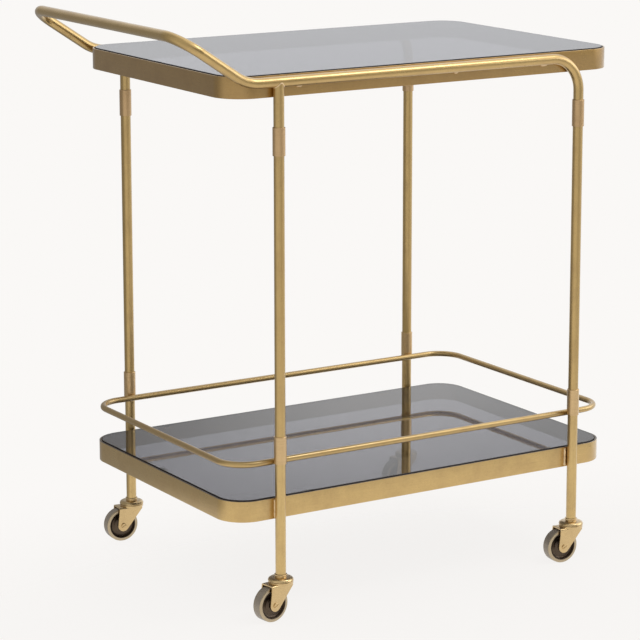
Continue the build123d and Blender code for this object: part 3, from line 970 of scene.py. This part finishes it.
@dataclass
class Caster:
    """One swivel caster, with its sizes in millimetres.

    Its local X runs along the trail, Y along the axle to the front, and Z up from the floor.
    """

    corner: Corner
    trail: float = 20
    wheel_radius: float = 27
    plate_bottom: float = 55.1
    plate_top: float = 57.3
    race_top: float = 59.7
    race_bore: float = 4.05
    cap_bottom: float = 60.3
    collar_top: float = 69.7
    foot_z: float = 70
    pin_radius: float = 4
    pin_head: Pair = (53.45, 55.05)
    ball_circle: float = 14
    ball_radius: float = 1.6
    groove_radius: float = 1.65
    fork_half: float = 13
    sheet: float = 2.2
    sheet_edge: float = 0.35
    bend: float = 2.6
    tip_radius: float = 9.5
    rear: float = 26.5
    lead: float = 13.5
    web: Pair = (2.7, 22.2)
    turned_steps: int = 72
    wheel_steps: int = 96

    def placed(self, points: Array) -> Array:
        """Move points to the cart's frame: turned by the swivel angle, and put at the leg.

        Args:
            points: Points in the caster's own axes, in metres.

        Returns:
            The points in the cart's frame.
        """
        a = radians(self.corner.swivel)
        along = np.array([-cos(a), -sin(a), 0])
        turn = np.column_stack([along, np.cross([0, 0, 1], along), [0, 0, 1]])
        return points @ turn.T + LAYOUT.leg(self.corner)

    def on_axle(self, points: Array) -> Array:
        """Lay points turned about Z on the axle: (x, y, z) becomes (x, z, -y) at the wheel's centre."""
        centre = np.array([self.trail * MM, 0, self.wheel_radius * MM])
        return self.placed(points[..., [0, 2, 1]] * [1, 1, -1] + centre)

    def piece(
        self, made: Moulding, kind: str, body: str, slot: str, *finishes: Finish, solid: str = ""
    ) -> None:
        """Make one of the caster's pieces.

        Args:
            made: Its surfaces.
            kind: Its name, without the corner's.
            body: The body that it rides on, without the corner's name.
            slot: Its material slot. It is not used.
            finishes: Its finishes.
            solid: The solid that it stands for, where that isn't named like it.
        """
        label = self.corner.label
        rides = body if body == "frame" else f"{body}_{label}"
        made.piece(f"{kind}_{label}", finishes, rides, slot, [f"caster_{solid or kind}_{label}"])

    @property
    def ball_z(self) -> float:
        """Return the height of the balls' centres."""
        return (self.race_top + self.cap_bottom) / 2

    def groove(self, z_flat: float, side: int) -> list[Triple]:
        """Work out the ball groove's section in a flat face: an arc about the balls' circle.

        Args:
            z_flat: The height of the face.
            side: 1 where the face lies above the balls, and -1 where it lies below.

        Returns:
            (radius, height, fillet) for eased.
        """
        start = np.arcsin(abs(z_flat - self.ball_z) / self.groove_radius)
        arc = side * self.groove_radius
        angles = np.linspace(start, pi - start, 9)
        return [(self.ball_circle - arc * cos(a), self.ball_z + arc * sin(a), 0) for a in angles]

    def stem(self) -> None:
        """Build stem, collar, bearing cap and kingpin: one section turned, from the pin's head up."""
        cap, pin, (low, high) = self.cap_bottom, self.pin_radius, self.pin_head
        head = [(0, low, 0), (6.5, low, 0.4), (6.5, high, 0.3), (pin, high, 0), (pin, cap, 0)]
        rim = [(19.5, cap, 0.4), (19.5, cap + 0.8, 0.5)]
        crown = [(19, cap + 2.2, 1.1), (17.7, cap + 3.9, 1.3), (14.8, cap + 5, 1.4)]
        neck = [(8.9, cap + 5.3, 0.3), (8.9, 67.6, 0.2)]
        collar = [(9.7, 67.9, 0.3), (9.7, self.collar_top, 0.4)]
        stem = [(pin, self.collar_top, 0), (pin, self.foot_z + 25.4, 0.5), (0, self.foot_z + 26, 0)]
        profile = eased(head + self.groove(cap, 1) + rim + crown + neck + collar + stem)
        made = Moulding()
        made.surface(self.placed(revolved(profile, self.turned_steps)), loops=(True, False))
        self.piece(made, "stem", "frame", "caster_brass", Finish.CASTER)

    def cheek_reach(self, z: Array) -> tuple[Array, Array]:
        """Work out how far a cheek reaches fore and aft at each height.

        The outline is the hull of the round tip and the plate's lower corners: a circle below the
        tangent points, and straight lines from there to the corners. A tangent point lies
        sqrt(d^2 - r^2) from its corner, along the line to the tip's centre turned by arcsin(r / d).

        Args:
            z: Heights in millimetres.

        Returns:
            Local X of the front and of the rear edge.
        """
        centre = complex(self.trail, self.wheel_radius)
        drop = self.plate_top - 2 * self.sheet
        width = np.sqrt(np.maximum(self.tip_radius**2 - (z - centre.imag) ** 2, 0))
        reach = []
        for side, x in ((-1, -self.lead), (1, self.rear)):
            corner = complex(x, drop)
            gap = abs(centre - corner)
            heading = (centre - corner) / gap * np.exp(1j * side * np.arcsin(self.tip_radius / gap))
            touch = corner + heading * sqrt(gap**2 - self.tip_radius**2)
            straight = np.interp(z, [touch.imag, drop], [touch.real, x])
            reach.append(np.where(z < touch.imag, centre.real + side * width, straight))
        return reach[0], reach[1]

    def fork(self) -> None:
        """Build the fork and its race.

        The sheet's section goes up one cheek, over the plate and down the other. At each station a
        rounded strip, as long as the cheek is there and as thick as the sheet, lies across it.
        """
        half, top, bend = self.fork_half, self.plate_top, self.bend
        tip = self.wheel_radius - self.tip_radius * np.cos(np.linspace(0, pi * 0.62, 22))
        rise = np.concatenate([tip, np.linspace(tip[-1], top - 2 * self.sheet, 7)[1:], [top - bend]])
        a = np.linspace(0, pi / 2, 8)[1:]
        cheek = np.column_stack([0 * rise + half, rise, 0 * rise - 1, 0 * rise])
        arc = [half - bend * (1 - np.cos(a)), top - bend + bend * np.sin(a), -np.cos(a), -np.sin(a)]
        near = np.vstack([cheek, np.column_stack(arc), [0, top, 0, -1]])
        y, z, inward_y, inward_z = np.vstack([near, near[-2::-1] * [-1, 1, -1, 1]]).T[:, :, None]
        reach = self.cheek_reach(np.maximum(z[:, 0], self.wheel_radius - self.tip_radius))
        front, rear = (edge[:, None] for edge in reach)
        corner = np.linspace(0, pi / 2, 4)
        q = (1 - np.cos(corner)) * np.minimum(self.sheet_edge, (rear - front) / 2)
        x = np.hstack([front + q, rear - q[:, ::-1], rear - q, front + q[:, ::-1]])
        q = (1 - np.sin(corner)) * self.sheet_edge
        depth = np.concatenate([q, q[::-1], self.sheet - q, self.sheet - q[::-1]])
        points = np.stack([x, y + inward_y * depth, z + inward_z * depth], axis=2) * MM
        made = Moulding()
        made.surface(self.placed(points), loops=(False, True))
        low, high, bore = self.plate_bottom, self.race_top, self.race_bore
        race = [(bore, low, 0), (18.4, low, 0.3), (19, low + 1, 0.4), (19, high, 0.8)]
        race += [*self.groove(high, -1), (bore, high, 0)]
        made.surface(self.placed(revolved(eased(race), self.turned_steps)))
        self.piece(made, "fork", "fork", "caster_brass", Finish.CASTER)

    def balls(self) -> None:
        """Build the ring of bearing balls, each a half circle turned about its own upright."""
        arc = np.linspace(-pi / 2, pi / 2, 9)
        ball = revolved(np.stack([np.cos(arc), np.sin(arc)], axis=1) * self.ball_radius * MM, 14)
        made = Moulding()
        for x, y in self.ball_circle * ring(8):
            made.surface(self.placed(ball + np.array([x, y, self.ball_z]) * MM), loops=(True, False))
        self.piece(made, "balls", "fork", "ball_steel", Finish.STEEL)

    def wheel(self) -> None:
        """Build the wheel centre: rim with rolled flanges, dished web and hub, the same on both sides."""
        hub = [(2.55, 10.4, 0.3), (7.2, 10.4, 0.5), (7.6, 5.4, 0.9), (11.5, 3.6, 0.8), (18.6, 3.6, 2.2)]
        rim = [(21.2, 7.9, 0.4), (21.7, 8.55, 0.35), (22.6, 8.5, 0.35), (23.2, 8.2, 0.4)]
        lip = [(25.6, 8.1, 0.7), (26.75, 7.6, 0.35), (26.75, 7.25, 0.12), (23.8, 7.2, 0)]
        side = hub + rim + lip
        profile = eased(side + [(r, -h, f) for r, h, f in side[::-1]])
        radius = (profile[:, 0] + np.roll(profile[:, 0], -1)) / 2 / MM
        dark = (radius > self.web[0]) & (radius < self.web[1])
        made = Moulding()
        made.surface(self.on_axle(revolved(profile, self.wheel_steps)), finish=np.where(dark, 1, 0)[None])
        self.piece(made, "wheel", "wheel", "wheel_metal", Finish.WHEEL, Finish.WEB)

    def tyre(self) -> None:
        """Build the tyre: a tread crowned by a shallow arc, with eased shoulders."""
        tread = [(self.wheel_radius - 0.5 * t**2, 7 * t, 0) for t in np.linspace(-1, 1, 15)]
        shoulders = [(23.82, -7.18, 0), (26.3, -7.18, 0.15)]
        profile = eased(shoulders + tread + [(r, -h, f) for r, h, f in shoulders[::-1]])
        made = Moulding()
        made.surface(self.on_axle(revolved(profile, self.wheel_steps)))
        self.piece(made, "tread", "wheel", "tread_plastic", Finish.TREAD, solid="tyre")

    def build(self) -> None:
        """Build the caster's pieces and dress its axle."""
        self.stem()
        self.fork()
        self.balls()
        self.wheel()
        self.tyre()
        dress(f"caster_axle_{self.corner.label}", Finish.CASTER)


# ---- Studio ----


@dataclass
class Studio:
    """Camera, pale floor, backdrop, soft lamp and the dome that the gloss shows."""

    white: Colour = (0.956, 0.939, 0.922)
    level: float = 0.74
    position: Triple = (-2.21634, -3.55927, 1.33016)
    yaw: float = 0.55543
    pitch: float = 0.19769
    roll: float = -0.00114
    lens: float = 151.9
    sensor: float = 36
    shift_y: float = -0.1
    clip: Pair = (0.05, 60)
    lamp_place: Triple = (1.38, -1.3, 2.8)
    lamp_target: Triple = (0, 0, 0.45)
    lamp_size: Pair = (0.85, 0.7)
    lamp_power: float = 11
    floor_glow: Pair = (0.9, 0.2)
    floor_centre: Triple = (-0.1, -1, 0)
    floor_sink: float = 0.02 * MM
    floor_radius: float = 2.4
    floor_fade: Pair = (0.98, 1.58)
    round_steps: int = 96
    dome_centre: Triple = (1.3, -2.05, 0)
    dome_radius: float = 3.2
    dome_span: Pair = (-24, 90)
    dome_toward: Triple = (0.85, -0.53, 0)
    dome_behind: Triple = (-0.53, -0.85, 0)
    dome_levels: Triple = (0.33, 0.5, 1)
    dome_across: Pair = (0.5, 3.5)
    dome_far: Pair = (2.7, 3.2)
    dome_lobe: float = 0.78
    dome_rise: float = 0.2
    dome_falls: Pair = (-0.35, -1.4)
    dome_drop: float = 0.55
    dome_starts: Pair = (1.1, 0.7)
    dome_lifts: Pair = (1.3, 1.9)
    dome_dip: float = 1.3
    dome_edge: float = 0.22
    dome_white: Colour = (1.08, 1.09, 1.12)
    dome_haze: float = 0.78
    dome_bright: float = 1.3
    dome_shade: float = -0.5

    def camera(self) -> None:
        """Set the camera: right, up and back axes from its yaw, pitch and roll."""
        c, s = cos(self.yaw), sin(self.yaw)
        ahead = np.array([s * cos(self.pitch), c * cos(self.pitch), -sin(self.pitch)])
        right = np.array([c, -s, 0])
        up = np.cross(right, ahead)
        cr, sr = cos(self.roll), sin(self.roll)
        right, up = cr * right + sr * up, -sr * right + cr * up
        data = bpy.data.cameras.new("camera")
        data.lens, data.sensor_width, data.shift_y = self.lens, self.sensor, self.shift_y
        data.clip_start, data.clip_end = self.clip
        camera = linked("camera", data)
        camera.matrix_world = seated(self.position, right, up, -ahead)
        bpy.context.scene.camera = camera

    def world(self) -> None:
        """Set the backdrop: white where it is seen, mirrored or looked through, and else a plain level."""
        world = bpy.data.worlds.new("studio")
        bench = Bench(world, "OutputWorld")
        rays = bench.node("LightPath")
        kinds = ("Is Camera Ray", "Is Glossy Ray", "Is Transmission Ray")
        seen = bench.folded("MAXIMUM", *(rays[kind] for kind in kinds))
        lit = bench.node("Background", {"Color": (1, 1, 1), "Strength": self.level})[0]
        plain = bench.node("Background", {"Color": self.white})[0]
        bench.finish(bench.mixed(seen, lit, plain))
        bpy.context.scene.world = world

    def floor(self) -> None:
        """Build the floor: a pale round sheet that fades into the backdrop far from the cart.

        It is matt with a share of plain light, which keeps the cart's shadow soft. The share is
        smaller where the floor is seen through the glass.
        """
        reach = np.linspace(0, self.floor_radius, 7)
        disc = revolved(np.column_stack([reach, 0 * reach]), self.round_steps)
        sheet = Moulding()
        sheet.surface(disc + self.floor_centre - [0, 0, self.floor_sink], loops=(True, False))
        bench = Bench(bpy.data.materials.new("floor_pale"))
        place = bench.place()
        fade = bench.span(bench.measured("DISTANCE", place, self.floor_centre), self.floor_fade)
        paper = bench.span(bench.noise(place, 160), (0.4, 0.6))
        pale = bench.blend(paper, self.white, tuple(c * 0.99 for c in self.white))
        feeds = {"Base Color": pale, "Roughness": 0.9, "Specular IOR Level": 0.1}
        matt = bench.node("BsdfPrincipled", feeds)[0]
        bright = bench.node("Emission", {"Color": self.white})[0]
        clear = bench.node("BsdfTransparent")[0]
        through = bench.node("LightPath")["Is Transmission Ray"]
        soft = bench.mixed(bench.span(through, (0, 1), self.floor_glow), matt, bright)
        floor = linked("floor", sheet.mesh("floor"))
        floor.data.materials.append(bench.finish(bench.mixed(fade, soft, clear)))

    def surround(self) -> None:
        """Put a dim dome about the cart, which only the metal's and the glass's gloss shows.

        Its points are centre + radius x (cos e cos a, cos e sin a, sin e), and its level moves in
        smooth steps. Low down it is the left level. In front a lobe is added, which passes over to
        the right level, rises a little at the far right and falls off with height, and the rear is
        lifted. White sky starts at a height that steps down to the right, is lifted in front and
        dips at the far right. The sky is hazy low down, brighter far right and shaded far left.
        """
        rise = np.radians(np.linspace(*self.dome_span, 24))
        section = self.dome_radius * np.stack([np.cos(rise), np.sin(rise)], axis=1)
        sheet = Moulding()
        sheet.surface(revolved(section, self.round_steps) + self.dome_centre, loops=(True, False))
        bench = Bench(bpy.data.materials.new("surround_dim"))
        place = bench.place()
        x, _, height = bench.node("SeparateXYZ", {0: place})
        toward = bench.measured("DOT_PRODUCT", place, self.dome_toward)
        behind = bench.measured("DOT_PRODUCT", place, self.dome_behind)
        front = bench.span(behind, (0.25, 0.85))
        left, right, rear = self.dome_levels
        lobe = bench.plus(
            bench.span(toward, self.dome_across, (self.dome_lobe - left, right - left)),
            bench.span(toward, (4.5, 5.4), (0, self.dome_rise)),
        )
        sunk = bench.span(toward, (0.3, 1.6), self.dome_falls)
        fall = bench.times(bench.span(height, (0.4, 1.1)), sunk)
        lift = bench.times(
            bench.span(height, (0.44, 0.68), (1, self.dome_drop)),
            bench.span(behind, (-1.4, -0.6), (rear - left, 0)),
        )
        low = bench.plus(left, bench.times(front, lobe, bench.plus(1, fall)), lift)
        start = bench.plus(
            bench.span(x, (-1, -0.1), self.dome_starts),
            bench.times(front, bench.span(toward, self.dome_across, self.dome_lifts)),
            bench.span(x, self.dome_far, (0, -self.dome_dip)),
        )
        share = bench.span(bench.folded("SUBTRACT", height, start), (0, self.dome_edge))
        haze = tuple(self.dome_haze * c for c in self.dome_white)
        sky = bench.blend(bench.span(height, (0.95, 1.9)), haze, self.dome_white)
        far = bench.span(x, self.dome_far, (0, self.dome_bright))
        glare = bench.times(far, bench.span(height, (1, 1.4)))
        gain = bench.plus(1, glare, bench.span(x, (-0.7, -0.1), (self.dome_shade, 0)))
        lit = bench.node("VectorMath", {0: sky, "Scale": gain}, operation="SCALE")["Vector"]
        glow = bench.node("Emission", {"Color": bench.blend(share, low, lit)})[0]
        screen = linked("surround", sheet.mesh("surround"))
        screen.data.materials.append(bench.finish(glow))
        for kind in ("camera", "diffuse", "transmission", "volume_scatter", "shadow"):
            setattr(screen, f"visible_{kind}", False)

    def lamp(self) -> None:
        """Hang the soft oblong lamp so that it faces its target."""
        data = bpy.data.lights.new("lamp_right", "AREA")
        data.shape, data.energy = "RECTANGLE", self.lamp_power
        data.size, data.size_y = self.lamp_size
        back = np.array(self.lamp_place) - self.lamp_target
        back /= np.linalg.norm(back)
        right = np.cross([0, 0, 1], back)
        right /= np.linalg.norm(right)
        lamp = linked("lamp_right", data)
        lamp.matrix_world = seated(self.lamp_place, right, np.cross(back, right), back)
        lamp.visible_camera = False

    def build(self) -> None:
        """Set up the whole studio."""
        self.camera()
        self.world()
        self.floor()
        self.surround()
        self.lamp()
        bpy.context.scene.view_settings.view_transform = "Standard"


def main() -> None:
    """Build the studio and every sub-assembly, in order."""
    logging.basicConfig(level=logging.INFO, format="%(name)s: %(message)s")
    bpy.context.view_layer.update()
    Studio().build()
    FrameTubes().build()
    for shelf in Shelf:
        ShelfTier(shelf).build()
    GuardRail().build()
    Welds().build()
    for corner in Corner:
        Caster(corner).build()


if __name__ == "__main__":
    main()
